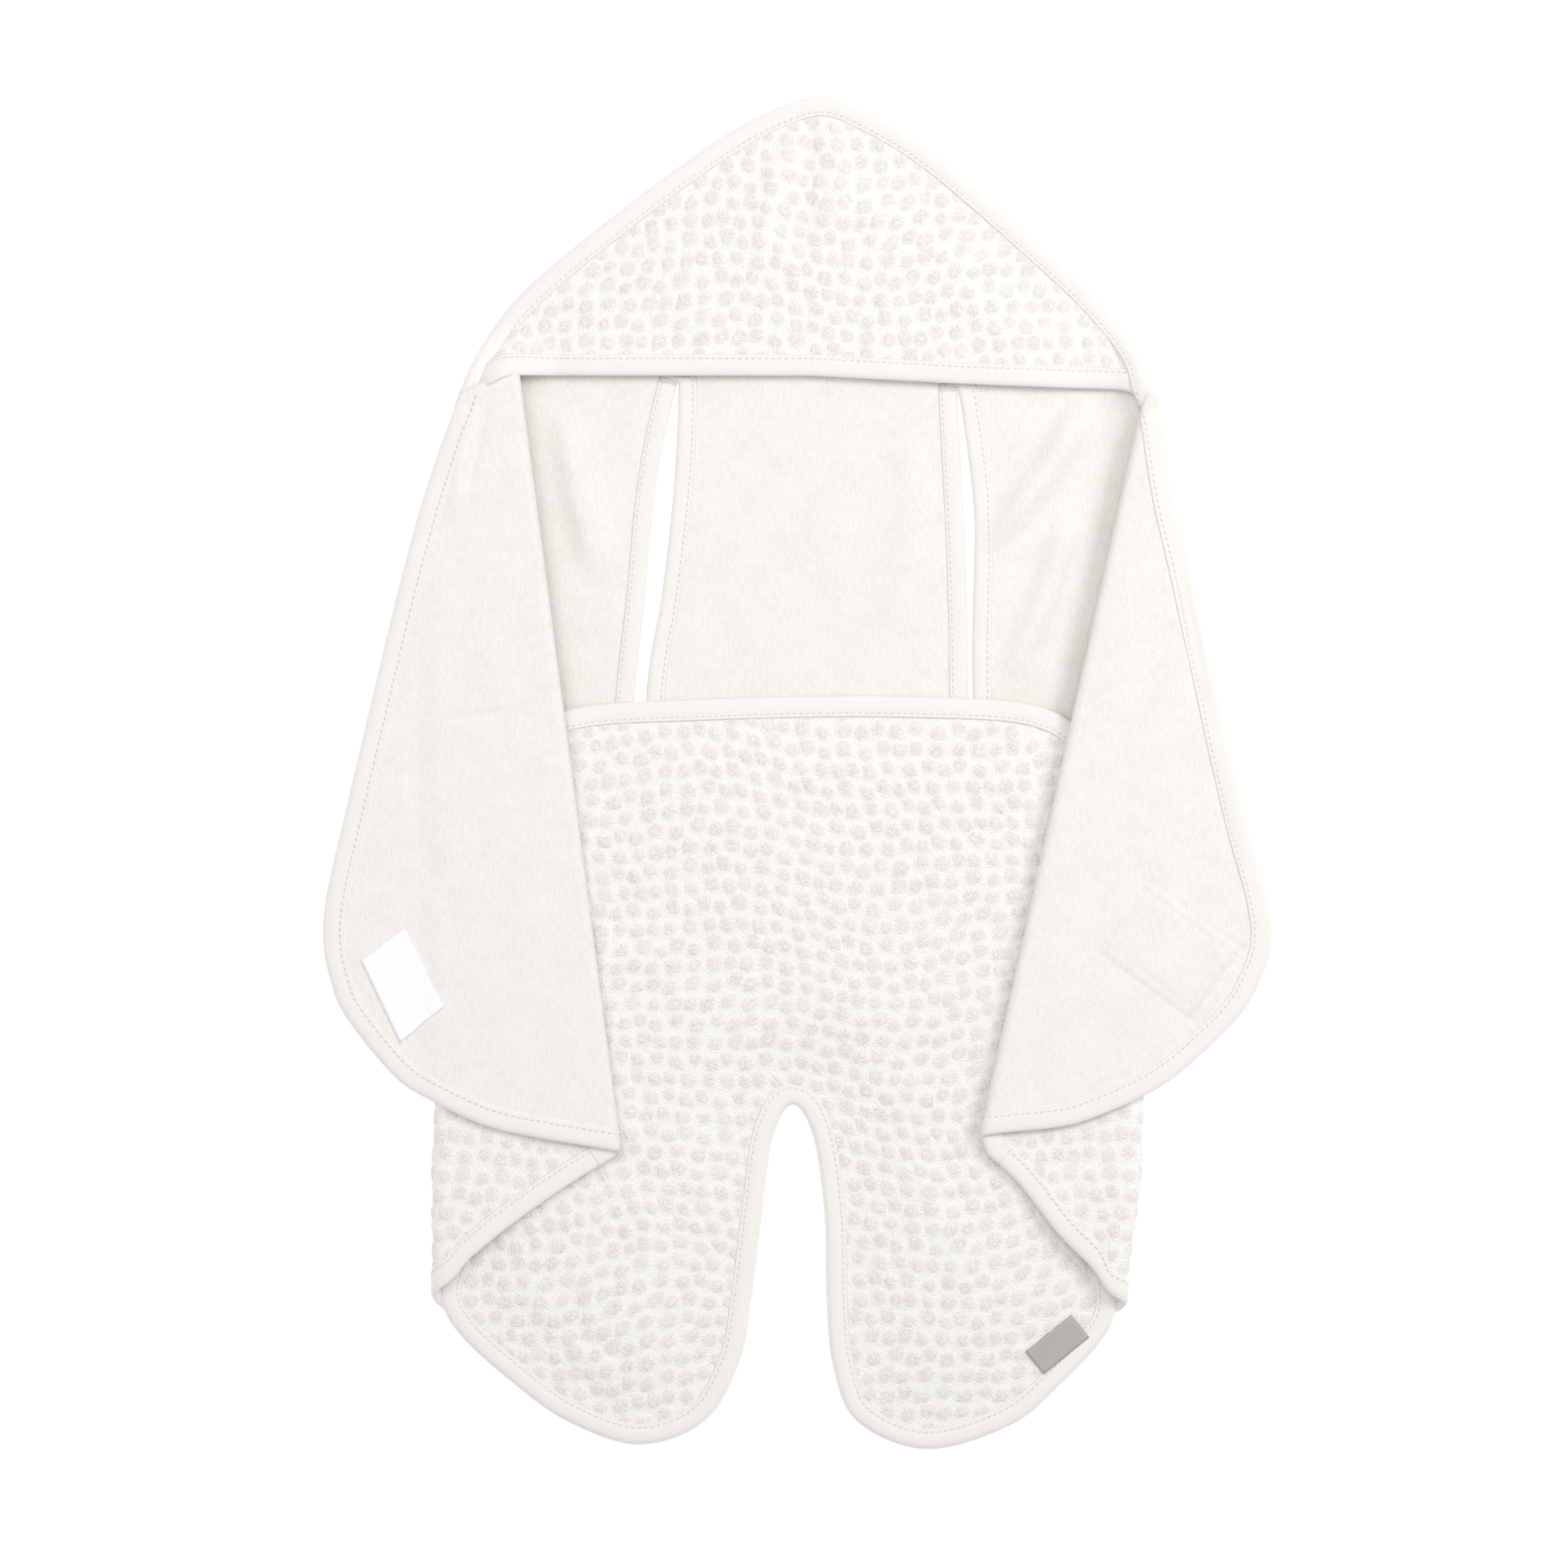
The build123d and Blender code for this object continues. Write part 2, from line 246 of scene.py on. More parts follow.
def front_height(u, v):
    """The leg fronts and the pouch, sewn down round the legs and loose at the top."""
    from_leg = nearest(leg_line, u, v)[0]
    full = ease(9, 62, from_leg)
    z = edge_mid + half_cloth + (front_mid - edge_mid - 2 * half_cloth) * full
    z += full * (0.75 * ripple(u, v, 58, 11) + 0.4 * ripple(u, v, 24, 12))
    z -= 1.6 * ease(-10, 45, v)
    z += creases(u, v,
                 ([(-128, -300), (-110, -318), (-84, -336)], 7, 1.3),
                 ([(-150, -262), (-120, -286), (-104, -322)], 6, -0.9),
                 ([(60, -210), (88, -262), (96, -318)], 8, 1.0),
                 ([(-60, -200), (-48, -250), (-52, -310)], 8, 0.9))
    return z


def hood_front_height(u, v):
    """The hood's front panel, sewn down along its slopes and riding over the wings."""
    from_edge = nearest(hood_line, u, v)[0]
    full = ease(8, 55, from_edge)
    z = edge_mid + half_cloth + (4.4 + 0.8 * ripple(u, v, 34, 21)) * full
    z += 0.8 * corner_rise(u, v)
    over_left = ease(-128, -158, u)
    over_right = ease(172, 187, u)
    z += (14.5 * over_left + 9.5 * over_right) * (1 - ease(208, 246, v)) * ease(4, 18, from_edge)
    z -= 4.5 * (1 - ease(3, 15, np.hypot(u + 176, v - 198)))
    z -= 4.5 * (1 - ease(3, 15, np.hypot(u - 187, v - 199)))
    z += full * 0.5 * ripple(u, v, 17, 22)
    z += creases(u, v,
                 ([(9, 362), (6, 322), (4, 270)], 5, -1.5),
                 ([(0, 356), (-12, 318), (-20, 262)], 6, 1.5),
                 ([(16, 356), (22, 320), (26, 282)], 6, 1.3))
    return z


def left_wing_shape(u, v):
    z = 0.5 * ripple(u, v, 60, 31) + 0.28 * ripple(u, v, 21, 32)
    z += 0.4 - 1.6 * ease(-190, -204, u) * ease(120, 40, v)
    z += creases(u, v,
                 ([(-167, 200), (-173, 172), (-178, 148)], 2.6, -3.0),
                 ([(-173, 198), (-180, 165), (-186, 130)], 4, 1.5),
                 ([(-205, 30), (-206, 2), (-205, -22)], 2.6, -1.8),
                 ([(-198, -36), (-193, -60), (-182, -80)], 6, -0.9),
                 ([(-196, 26), (-170, 31), (-142, 34)], 2, -0.8),
                 ([(-206, -52), (-220, -60), (-236, -58)], 5, -0.7))
    return z


def right_wing_shape(u, v):
    z = 0.45 * ripple(u, v, 64, 41) + 0.25 * ripple(u, v, 23, 42)
    z += 0.4 - 1.2 * ease(196, 214, u) * ease(110, 20, v)
    z += creases(u, v,
                 ([(189, 200), (196, 160), (207, 95), (224, 10)], 3.4, -3.2),
                 ([(222, 10), (232, -35), (240, -60)], 5, -0.7))
    return z + loop_emboss(u, v)


def loop_emboss(u, v):
    """The loop patch under the right wing shows as a raised field with a sewn outline."""
    across, along = patch_coordinates(u, v, (199.9, -95.7), -36.5)
    field = ease(32, 29, np.abs(across)) * ease(25, 22, np.abs(along))
    rows = np.exp(-((np.abs(along) - 22.8) / 1.3) ** 2)
    rows += 0.7 * np.exp(-((np.abs(along) - 18.2) / 1.3) ** 2)
    ends = np.exp(-((np.abs(across) - 30.0) / 1.3) ** 2)
    inside_field = ease(34, 31, np.abs(across)) * ease(27, 25, np.abs(along))
    return 0.8 * field - 1.3 * (0.7 * rows + ends) * inside_field


def patch_coordinates(u, v, centre, turn):
    """Distances along and across a turned rectangle, from its centre."""
    c, s = math.cos(math.radians(turn)), math.sin(math.radians(turn))
    du, dv = u - centre[0], v - centre[1]
    return du * c + dv * s, dv * c - du * s


def flat_place(height):
    """Places a panel that isn't folded: its flat cut lies straight under it."""
    def place(u, v):
        return np.stack([u, v, height(u, v)], -1)
    return place


class Fold:
    """Cloth rolled round a fold line. Flat-cut coordinates are the distance round the roll,
    positive on the upper layer, and the distance along the fold line from its low end. The
    pinch draws the fold inwards at its low end."""

    def __init__(self, line, inward, roll, low_height, shape, pinch=0.0):
        top, low = np.array(line[0], float), np.array(line[1], float)
        self.origin, self.roll, self.low_height, self.shape = low, roll, low_height, shape
        self.along = (top - low) / np.linalg.norm(top - low)
        self.across = np.array([self.along[1], -self.along[0]]) * inward
        self.half_turn = math.pi * roll / 2
        self.pinch = pinch

    def flat(self, x, y, layer):
        """The flat-cut coordinates of a place on the upper (1) or lower (-1) layer."""
        px, py = x - self.origin[0], y - self.origin[1]
        away = px * self.across[0] + py * self.across[1]
        run = px * self.along[0] + py * self.along[1]
        return layer * (self.half_turn + away - self.roll), run

    def place(self, round_roll, run):
        turn = np.clip(round_roll / self.roll, -math.pi / 2, math.pi / 2)
        beyond = np.maximum(np.abs(round_roll) - self.half_turn, 0)
        away = self.roll * (1 - np.cos(turn)) + beyond
        away = away + self.pinch * (1 - ease(0, 70, run)) * (1 - ease(0, 16, beyond))
        x = self.origin[0] + away * self.across[0] + run * self.along[0]
        y = self.origin[1] + away * self.across[1] + run * self.along[1]
        z = self.low_height + self.roll * (1 + np.sin(turn))
        dip = np.maximum(self.shape(x, y), -0.2 - 0.02 * beyond)
        z = z + dip * ease(0, 14, round_roll)
        return np.stack([x, y, z], -1)


def side_shape(u, v):
    return 0.35 * ripple(u, v, 40, 51) - 0.3


left_side_fold = Fold(left_outer, 1, outer_roll, back_mid, side_shape, 2.5)
right_side_fold = Fold(right_outer, -1, outer_roll, back_mid, side_shape, 6.5)
left_wing_fold = Fold(left_inner, -1, inner_roll, side_mid, left_wing_shape)
right_wing_fold = Fold(right_inner, 1, inner_roll, side_mid, right_wing_shape)


# ------------------------------------------------------------------ the terry's dots
class Figures:
    """The few functions the dot pattern needs, on arrays."""
    sin, floor, root, ease = (staticmethod(f) for f in (np.sin, np.floor, np.sqrt, ease))


def dot_pattern(u, v, maths):
    """1 on a raised dot of the terry and 0 between them, in millimetres of flat cloth."""
    wavy_u = u + maths.sin(v / 31 + 0.7) * 4 + maths.sin(v / 14.3 + u / 47) * 2.2
    wavy_v = v + maths.sin(u / 37) * 5 + maths.sin(u / 17.9 + v / 53 + 1.1) * 2.2
    rows = wavy_v / 10.2
    row = maths.floor(rows)
    columns = wavy_u / 9.9 + maths.sin(row * 2.4) * 0.5
    column = maths.floor(columns)
    off_u = (columns - column - 0.5 + maths.sin(column * 5.1 + row * 3.7) * 0.15) * 9.9
    off_v = (rows - row - 0.5 + maths.sin(column * 3.3 + row * 7.9) * 0.15) * 10.2
    size = maths.sin(column * 9.7 + row * 4.3) * 0.5 + 4.75
    away = maths.root(off_u * off_u + off_v * off_v) / size
    return 1 - maths.ease(0.5, 1.08, away)


# ------------------------------------------------------------------ meshes
def mesh_piece(name, points, faces, uv, material):
    """A mesh object from points in millimetres, quads, and flat-cloth coordinates."""
    points, faces = np.asarray(points, float) * MM, np.asarray(faces, np.int32)
    mesh = bpy.data.meshes.new(name)
    mesh.vertices.add(len(points))
    mesh.vertices.foreach_set("co", points.astype(np.float32).ravel())
    mesh.loops.add(faces.size)
    mesh.loops.foreach_set("vertex_index", faces.ravel())
    mesh.polygons.add(len(faces))
    mesh.polygons.foreach_set("loop_start", np.arange(0, faces.size, 4, dtype=np.int32))
    mesh.polygons.foreach_set("use_smooth", np.ones(len(faces), bool))
    layer = mesh.uv_layers.new(name="UVMap")
    layer.data.foreach_set("uv", (np.asarray(uv, float)[faces.ravel()] * MM)
                           .astype(np.float32).ravel())
    mesh.update()
    mesh.validate()
    mesh.materials.append(material)
    piece = bpy.data.objects.new(name, mesh)
    bpy.context.scene.collection.objects.link(piece)
    return piece


def normals_of(place, u, v, step=0.6):
    across = place(u + step, v) - place(u - step, v)
    along = place(u, v + step) - place(u, v - step)
    n = np.cross(across, along)
    return n / np.maximum(np.linalg.norm(n, axis=-1, keepdims=True), 1e-9)


class Cut:
    """A panel cut from flat cloth: a fine square mesh trimmed to an outline."""

    def __init__(self, outline, pitch, holes=(), middle=None):
        low, high = outline.min(0), outline.max(0)
        self.middle = middle or (lambda v: 0 * v)
        cols = np.arange(math.floor(low[0] / pitch) - 8, high[0] / pitch + 8) * pitch
        rows = np.arange(low[1] - pitch, high[1] + 2 * pitch, pitch)
        u, v = np.meshgrid(cols, rows, indexing="ij")
        u = u + self.middle(v)
        kept = inside(outline, u, v)
        for hole in holes:
            kept &= ~inside(hole, u, v)
        cells = kept[:-1, :-1] & kept[1:, :-1] & kept[1:, 1:] & kept[:-1, 1:]
        number = np.arange(u.size).reshape(u.shape)
        quads = np.stack([number[:-1, :-1][cells], number[1:, :-1][cells],
                          number[1:, 1:][cells], number[:-1, 1:][cells]], 1)
        used, flat = np.unique(quads, return_inverse=True)
        self.quads = flat.reshape(-1, 4)
        self.u, self.v = u.ravel()[used], v.ravel()[used]
        corners = np.bincount(self.quads.ravel(), minlength=len(used))
        rim = np.flatnonzero(corners < 4)
        best, best_u, best_v = nearest(outline, self.u[rim], self.v[rim], True)
        for hole in holes:
            d, hu, hv = nearest(hole, self.u[rim], self.v[rim], True)
            closer = d < best
            best = np.where(closer, d, best)
            best_u, best_v = np.where(closer, hu, best_u), np.where(closer, hv, best_v)
        self.u[rim], self.v[rim] = best_u, best_v
        self.pitch = pitch
        self.find_rim()

    def find_rim(self):
        edges = np.concatenate([self.quads[:, [k, (k + 1) % 4]] for k in range(4)])
        key = np.sort(edges, 1)
        _, first, uses = np.unique(key, axis=0, return_index=True, return_counts=True)
        self.rim_edges = edges[first[uses == 1]]
        self.area = self.pitch * self.pitch * len(self.quads)

    def half(self, sign):
        """The part on one side of the middle line the mesh was laid out from."""
        away = (self.u - self.middle(self.v))[self.quads].mean(1)
        part = Cut.__new__(Cut)
        used, flat = np.unique(self.quads[away * sign > 0], return_inverse=True)
        part.quads, part.pitch = flat.reshape(-1, 4), self.pitch
        part.u, part.v = self.u[used], self.v[used]
        part.find_rim()
        return part


def sheet_mesh(name, cut, place, upper, lower, material):
    """A thin closed piece of cloth between two heights over the panel's middle surface."""
    middle = place(cut.u, cut.v)
    normal = normals_of(place, cut.u, cut.v)
    count = len(cut.u)
    points = np.vstack([middle + normal * upper[:, None], middle + normal * lower[:, None]])
    rim = cut.rim_edges
    walls = np.stack([rim[:, 1], rim[:, 0], rim[:, 0] + count, rim[:, 1] + count], 1)
    faces = np.vstack([cut.quads, cut.quads[:, ::-1] + count, walls])
    uv = np.stack([cut.u, cut.v], 1)
    piece = mesh_piece(name, points, faces, np.vstack([uv, uv]), material)
    up = surface_normals(points[:count], cut.quads)
    down = surface_normals(points[count:], cut.quads[:, ::-1])
    piece.data.normals_split_custom_set_from_vertices(np.vstack([up, down]).tolist())
    return piece


def surface_normals(points, quads):
    """Each point's normal, from the faces of one side of a sheet alone."""
    a, b, c, d = (points[quads[:, k]] for k in range(4))
    faces = np.cross(c - a, d - b)
    total = np.zeros_like(points)
    for k in range(4):
        np.add.at(total, quads[:, k], faces)
    return total / np.maximum(np.linalg.norm(total, axis=1, keepdims=True), 1e-9)


def cloth(name, cuts, place, pile_up, bound=()):
    """A panel's terry and jersey from their two cuts. pile_up is 1 where the terry is its
    upper face, or -1."""
    cut = cuts[0]
    pile = dot_pattern(cut.u, cut.v, Figures)
    fade = np.ones(len(cut.u))
    for edge in bound:
        fade *= ease(7, 14, nearest(edge, cut.u, cut.v)[0])
    fluff = 0.12 * ripple(cut.u, cut.v, 2.6, 71) + 0.1 * ripple(cut.u, cut.v, 5.1, 72)
    outer = 0.75 + (0.25 + 0.8 * pile + fluff) * fade
    inner = np.full(len(cut.u), -terry_at)
    sides = (outer, inner) if pile_up == 1 else (-inner, -outer)
    terry = sheet_mesh(name + "_terry", cut, place, *sides, terry_cloth)
    terry["flat_area"] = cut.area * MM * MM
    cut = cuts[1]
    face = half_cloth - 0.06 * ripple(cut.u, cut.v, 4, 73)
    hidden = np.full(len(cut.u), jersey_at)
    sides = (face, hidden) if pile_up == -1 else (-hidden, -face)
    jersey = sheet_mesh(name + "_jersey", cut, place, *sides, jersey_cloth)
    jersey["flat_area"] = cut.area * MM * MM
    return [terry, jersey]


def binding_profile(half, top_puff, bottom_puff, width=binding_width):
    """A folded strip seen end on: distance in from the bound edge, and height."""
    upper = [(width, half - 0.5), (width - 0.1, half + 0.35), (width - 0.9, half + 0.6),
             (width - 2.2, half + 0.3), (width - 3.4, half + 0.55 * top_puff + 0.3),
             (0.52 * width, half + top_puff), (0.3 * width, half + 0.9 * top_puff),
             (0.14 * width, half + 0.35 * top_puff), (0.05 * width, 0.62 * half),
             (0.0, 0.1 * half)]
    lower = [(0.05 * width, -0.5 * half), (0.14 * width, -half - 0.1 * bottom_puff),
             (0.32 * width, -half - bottom_puff), (0.6 * width, -half - bottom_puff),
             (width - 2.2, -half - 0.4 * bottom_puff), (width - 0.9, -half - 0.6 * bottom_puff),
             (width - 0.1, -half - 0.2), (width, -half + 0.5)]
    return np.array(upper + lower)


def side_of(line, inward_point):
    """The unit directions that point into the cloth along an edge."""
    run = np.gradient(line, axis=0)
    run /= np.linalg.norm(run, axis=1, keepdims=True)
    into = np.stack([-run[:, 1], run[:, 0]], 1)
    middle = len(line) // 2
    if np.dot(into[middle], np.array(inward_point) - line[middle]) < 0:
        into = -into
    return into


def swept(name, line, into, place, profile, material, closed=False, ends=((1, 1), (1, 1))):
    """A strip with that profile along an edge, laid on the panel's middle surface. ends are
    the strip's share of its width and thickness at its two ends."""
    rings, ribs = len(line), len(profile)
    from_start = travelled(line)
    share = np.ones((rings, 2))
    for end, gone in zip(ends, (from_start, from_start[-1] - from_start)):
        full = ease(0, 13, gone)[:, None]
        share *= np.array(end) * (1 - full) + full
    flat = line[:, None, :] + into[:, None, :] * profile[None, :, :1] * share[:, None, :1]
    u, v = flat[..., 0].ravel(), flat[..., 1].ravel()
    height = np.broadcast_to(profile[:, 1], (rings, ribs)).copy()
    rng = np.random.default_rng(len(name))
    knots = np.arange(0, rings + 9, 9)
    wobble = np.interp(np.arange(rings), knots, rng.uniform(-1, 1, len(knots)))
    wobble = wobble * ease(0, 13, np.minimum(from_start, from_start[-1] - from_start))
    height *= (1 + 0.05 * wobble)[:, None] * share[:, 1:]
    points = place(u, v) + normals_of(place, u, v) * height.ravel()[:, None]
    number = np.arange(rings * ribs).reshape(rings, ribs)
    ahead = np.roll(number, -1, axis=0) if closed else number[1:]
    here = number if closed else number[:-1]
    around_here, around_ahead = np.roll(here, -1, axis=1), np.roll(ahead, -1, axis=1)
    faces = np.stack([here, ahead, around_ahead, around_here], -1).reshape(-1, 4)
    uv = np.stack(np.broadcast_arrays(from_start[:, None], travelled(profile)[None, :]),
                  -1).reshape(-1, 2)
    piece = mesh_piece(name, points, faces, uv, material)
    finish_strip(piece, number, closed)
    return piece


def finish_strip(piece, number, closed):
    """Closes the ends of a strip and turns its faces outwards."""
    work = bmesh.new()
    work.from_mesh(piece.data)
    work.verts.ensure_lookup_table()
    if not closed:
        for ring in (number[0], number[-1]):
            work.faces.new([work.verts[int(k)] for k in ring])
    bmesh.ops.recalc_face_normals(work, faces=work.faces)
    for face in work.faces:
        face.smooth = True
    work.to_mesh(piece.data)
    work.free()
    if not closed:
        normals = [v.vector.copy() for v in piece.data.vertex_normals]
        for ring, beside in ((0, 1), (-1, -2)):
            for a, b in zip(number[ring], number[beside]):
                normals[a] = normals[b]
        piece.data.normals_split_custom_set_from_vertices(normals)


# ------------------------------------------------------------------ stitches
def stitch_tree():
    """Geometry Nodes that set a small oval stitch at each step along a polyline."""
    tree = bpy.data.node_groups.new("stitches", "GeometryNodeTree")
    tree.interface.new_socket("Geometry", in_out="INPUT", socket_type="NodeSocketGeometry")
    for label, value in (("Pitch", 0.0035), ("Length", 0.0024), ("Width", 0.0008),
                         ("Height", 0.0006), ("Slant", 0.25)):
        socket = tree.interface.new_socket(label, in_out="INPUT", socket_type="NodeSocketFloat")
        socket.default_value = value
    tree.interface.new_socket("Material", in_out="INPUT", socket_type="NodeSocketMaterial")
    tree.interface.new_socket("Geometry", in_out="OUTPUT", socket_type="NodeSocketGeometry")

    def node(kind, **settings):
        made = tree.nodes.new(kind)
        for key, value in settings.items():
            setattr(made, key, value)
        return made

    given, result = node("NodeGroupInput"), node("NodeGroupOutput")
    curve = node("GeometryNodeMeshToCurve")
    even = node("GeometryNodeResampleCurve", mode="LENGTH")
    facing = node("GeometryNodeInputNamedAttribute", data_type="FLOAT_VECTOR")
    facing.inputs["Name"].default_value = "facing"
    tangent = node("GeometryNodeInputTangent")
    run = node("FunctionNodeAlignRotationToVector", axis="X", pivot_axis="AUTO")
    up = node("FunctionNodeAlignRotationToVector", axis="Z", pivot_axis="X")
    slant = node("ShaderNodeCombineXYZ")
    turn = node("FunctionNodeRotateRotation", rotation_space="LOCAL")
    ball = node("GeometryNodeMeshUVSphere")
    for label, value in (("Segments", 6), ("Rings", 5), ("Radius", 0.5)):
        ball.inputs[label].default_value = value
    size = node("ShaderNodeCombineXYZ")
    place = node("GeometryNodeInstanceOnPoints")
    real = node("GeometryNodeRealizeInstances")
    soft = node("GeometryNodeSetShadeSmooth")
    paint = node("GeometryNodeSetMaterial")
    for source, out, target, into in (
            (given, "Geometry", curve, "Mesh"),
            (curve, "Curve", even, "Curve"), (given, "Pitch", even, "Length"),
            (tangent, "Tangent", run, "Vector"), (run, "Rotation", up, "Rotation"),
            (facing, "Attribute", up, "Vector"), (given, "Slant", slant, "Z"),
            (up, "Rotation", turn, "Rotation"), (slant, "Vector", turn, "Rotate By"),
            (given, "Length", size, "X"), (given, "Width", size, "Y"),
            (given, "Height", size, "Z"), (even, "Curve", place, "Points"),
            (ball, "Mesh", place, "Instance"), (turn, "Rotation", place, "Rotation"),
            (size, "Vector", place, "Scale"), (place, "Instances", real, "Geometry"),
            (real, "Geometry", soft, "Geometry"), (soft, "Geometry", paint, "Geometry"),
            (given, "Material", paint, "Material"), (paint, "Geometry", result, "Geometry")):
        tree.links.new(source.outputs[out], target.inputs[into])
    return tree


def stitches(name, rows, pitch=3.5, length=2.5, slant=0.25):
    """Stitches along several rows, each given as points and the way the cloth faces there."""
    points = np.vstack([row[0] for row in rows]) * MM
    facing = np.vstack([row[1] for row in rows])
    edges, first = [], 0
    for row in rows:
        count = len(row[0])
        edges.append(np.stack([np.arange(first, first + count - 1),
                               np.arange(first + 1, first + count)], 1))
        first += count
    mesh = bpy.data.meshes.new(name + "_rows")
    mesh.from_pydata(points.tolist(), np.vstack(edges).tolist(), [])
    layer = mesh.attributes.new("facing", "FLOAT_VECTOR", "POINT")
    layer.data.foreach_set("vector", facing.astype(np.float32).ravel())
    guide = bpy.data.objects.new(name + "_rows", mesh)
    bpy.context.scene.collection.objects.link(guide)
    modifier = guide.modifiers.new("stitches", "NODES")
    modifier.node_group = stitch_nodes
    wanted = {"Pitch": pitch * MM, "Length": length * MM, "Slant": slant, "Material": thread}
    for item in stitch_nodes.interface.items_tree:
        if item.in_out == "INPUT" and item.name in wanted:
            modifier[item.identifier] = wanted[item.name]
    bpy.context.view_layer.update()
    made = bpy.data.meshes.new_from_object(
        guide.evaluated_get(bpy.context.evaluated_depsgraph_get()))
    made.name = name
    piece = bpy.data.objects.new(name, made)
    bpy.context.scene.collection.objects.link(piece)
    bpy.data.objects.remove(guide)
    bpy.data.meshes.remove(mesh)
    made.materials.clear()
    made.materials.append(thread)
    return piece


def stitch_row(line, into, place, inwards, height):
    """A row of stitch places at one distance in from an edge, on the cloth's upper face."""
    flat = line + into * inwards
    normal = normals_of(place, flat[:, 0], flat[:, 1]) * np.sign(height)
    points = place(flat[:, 0], flat[:, 1]) + normal * abs(height)
    return points, normal


# ------------------------------------------------------------------ materials
class Sum:
    """A value in a shader, with Python's own arithmetic."""

    def __init__(self, nodes, socket):
        self.nodes, self.socket = nodes, socket

    def maths(self, kind, *others):
        made = self.nodes.node("ShaderNodeMath", operation=kind)
        for index, value in enumerate((self, *others)):
            self.nodes.feed(made.inputs[index], value)
        return Sum(self.nodes, made.outputs[0])

    def __add__(self, other):
        return self.maths("ADD", other)

    def __sub__(self, other):
        return self.maths("SUBTRACT", other)

    def __rsub__(self, other):
        return (self * -1) + other

    def __mul__(self, other):
        return self.maths("MULTIPLY", other)

    def __truediv__(self, other):
        return self.maths("DIVIDE", other)

    __radd__, __rmul__ = __add__, __mul__


class Shader:
    """A material's nodes, and the functions that dot_pattern needs."""

    def __init__(self, name, roughness, sheen):
        self.material = bpy.data.materials.new(name)
        self.material.use_nodes = True
        self.tree = self.material.node_tree
        self.surface = self.tree.nodes["Principled BSDF"]
        self.surface.inputs["Roughness"].default_value = roughness
        self.surface.inputs["Sheen Weight"].default_value = sheen
        self.surface.inputs["Sheen Roughness"].default_value = 0.6

    def node(self, kind, **settings):
        made = self.tree.nodes.new(kind)
        for key, value in settings.items():
            setattr(made, key, value)
        return made

    def feed(self, socket, value):
        if isinstance(value, Sum):
            self.tree.links.new(value.socket, socket)
        else:
            socket.default_value = value

    def flat_cloth(self, stretch=(1000, 1000, 1000)):
        """The piece's own flat-cut coordinates, in millimetres."""
        uv = self.node("ShaderNodeUVMap", uv_map="UVMap")
        scaled = self.node("ShaderNodeMapping")
        scaled.inputs["Scale"].default_value = stretch
        self.tree.links.new(uv.outputs[0], scaled.inputs["Vector"])
        return scaled.outputs[0]

    def noise(self, size, detail=2, stretch=(1, 1), distortion=0.0):
        made = self.node("ShaderNodeTexNoise")
        made.inputs["Scale"].default_value = 1
        made.inputs["Detail"].default_value = detail
        made.inputs["Distortion"].default_value = distortion
        scale = (1000 / size / stretch[0], 1000 / size / stretch[1], 1)
        self.tree.links.new(self.flat_cloth(scale), made.inputs["Vector"])
        return Sum(self, made.outputs[0])

    def cells(self, size):
        made = self.node("ShaderNodeTexVoronoi", feature="F1")
        made.inputs["Scale"].default_value = 1
        self.tree.links.new(self.flat_cloth((1000 / size,) * 3), made.inputs["Vector"])
        return Sum(self, made.outputs["Distance"])

    def axes(self):
        split = self.node("ShaderNodeSeparateXYZ")
        self.tree.links.new(self.flat_cloth(), split.inputs[0])
        return Sum(self, split.outputs[0]), Sum(self, split.outputs[1])

    def sin(self, value):
        return value.maths("SINE")

    def floor(self, value):
        return value.maths("FLOOR")

    def root(self, value):
        return value.maths("SQRT")

    def ease(self, low, high, value):
        made = self.node("ShaderNodeMapRange", interpolation_type="SMOOTHSTEP")
        self.feed(made.inputs[0], value)
        made.inputs[1].default_value, made.inputs[2].default_value = low, high
        return Sum(self, made.outputs[0])

    def colour(self, share, first, second):
        mix = self.node("ShaderNodeMix", data_type="RGBA")
        self.feed(mix.inputs["Factor"], share)
        mix.inputs[6].default_value = (*first, 1)
        mix.inputs[7].default_value = (*second, 1)
        self.tree.links.new(mix.outputs[2], self.surface.inputs["Base Color"])

    def bump(self, height, depth, strength=1.0):
        made = self.node("ShaderNodeBump")
        made.inputs["Strength"].default_value = strength
        made.inputs["Distance"].default_value = depth * MM
        self.feed(made.inputs["Height"], height)
        self.tree.links.new(made.outputs[0], self.surface.inputs["Normal"])


terry_white, terry_grey = (0.948, 0.931, 0.907), (0.825, 0.757, 0.695)
jersey_light, jersey_dark = (0.903, 0.879, 0.851), (0.81, 0.765, 0.715)


def make_terry():
    """White terry with raised dots of beige-grey loops."""
    cloth = Shader("terry", 0.95, 0.25)
    u, v = cloth.axes()
    ragged = cloth.noise(3.4, 2)
    dots = dot_pattern(u + ragged * 3.2 - 1.6, v + cloth.noise(4.1, 2) * 3.2 - 1.6, cloth)
    curls = cloth.noise(1.3, 3, distortion=1.6)
    loops = cloth.cells(1.15)
    worn = cloth.ease(0.25, 0.72, cloth.noise(17, 2)) * 0.65 + 0.35
    fleck = cloth.ease(0.42, 0.60, curls) * (dots * 0.95 + 0.12)
    cloth.colour(fleck * worn, terry_white, terry_grey)
    cloth.bump(loops * -0.7 + curls * (dots * 0.6 + 0.6), 1.1, 0.62)
    return cloth.material


